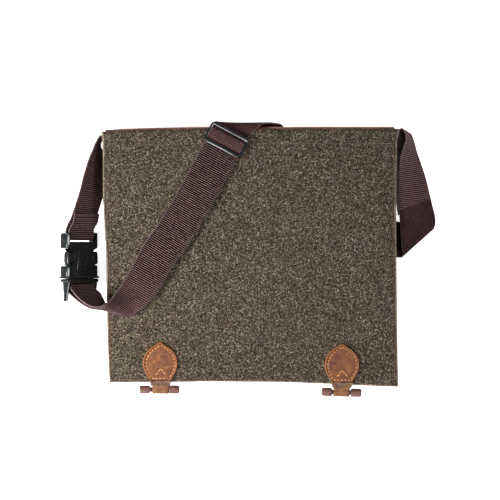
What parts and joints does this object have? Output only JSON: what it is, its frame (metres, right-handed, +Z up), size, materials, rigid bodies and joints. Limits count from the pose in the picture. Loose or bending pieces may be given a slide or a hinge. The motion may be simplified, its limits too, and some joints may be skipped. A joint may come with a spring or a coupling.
{
  "type": "felt hunting bag",
  "caption": "Flat felt hunting bag lying on its back: full front flap with leather tabs and toggles, webbing shoulder strap with slider and side-release buckle.",
  "frame": {"origin": "middle of the bag's footprint on the floor", "axes": "+Z up from the floor, +Y towards the bag's mouth, +X to the right across the flap"},
  "size_m": [0.4152, 0.3046, 0.0657],
  "materials": {
    "felt": "mottled wool felt",
    "brown_leather": "waxed",
    "pale_leather": "smooth",
    "keeper_leather": "rough flesh side",
    "webbing": "ribbed woven webbing",
    "black_plastic": "satin moulded",
    "toggle_wood": "stained"
  },
  "bodies": {
    "root": {"flap": "felt", "front_panel": "felt", "back_panel": "felt", "gusset": "felt", "top_band": "brown_leather", "tab_left": "brown_leather", "tab_right": "brown_leather", "keeper_left": "keeper_leather", "keeper_right": "keeper_leather", "loop_left": "pale_leather", "loop_right": "pale_leather", "toggle_left": "toggle_wood", "toggle_right": "toggle_wood", "strap_short": "webbing", "strap_long": "webbing", "buckle_female": "black_plastic", "buckle_male": "black_plastic", "slider": "black_plastic"}
  },
  "joints": []
}
